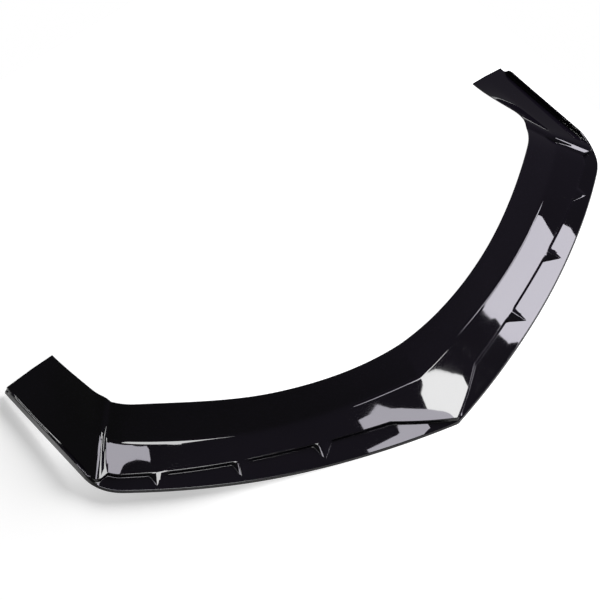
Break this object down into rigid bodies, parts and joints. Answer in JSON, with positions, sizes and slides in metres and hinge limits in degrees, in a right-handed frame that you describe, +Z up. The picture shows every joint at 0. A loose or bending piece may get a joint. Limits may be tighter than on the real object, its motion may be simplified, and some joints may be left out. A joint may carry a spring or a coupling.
{
  "type": "front splitter lip",
  "caption": "C-shaped gloss black lip that fits under a front bumper, with a stepped blade, a pointed prow, small gussets, a sloped mounting flange and raised side plates.",
  "frame": {"origin": "middle of the width and of the depth, on the level of the lowest edge", "axes": "+X across the car along the lip's width, -Y to the front of the car, where the prow points, +Z up"},
  "size_m": [1.7618, 0.83, 0.1503],
  "materials": {
    "gloss_black_plastic": "piano black, smooth and highly polished"
  },
  "bodies": {
    "root": {"splitter_lip": "gloss_black_plastic"}
  },
  "joints": []
}
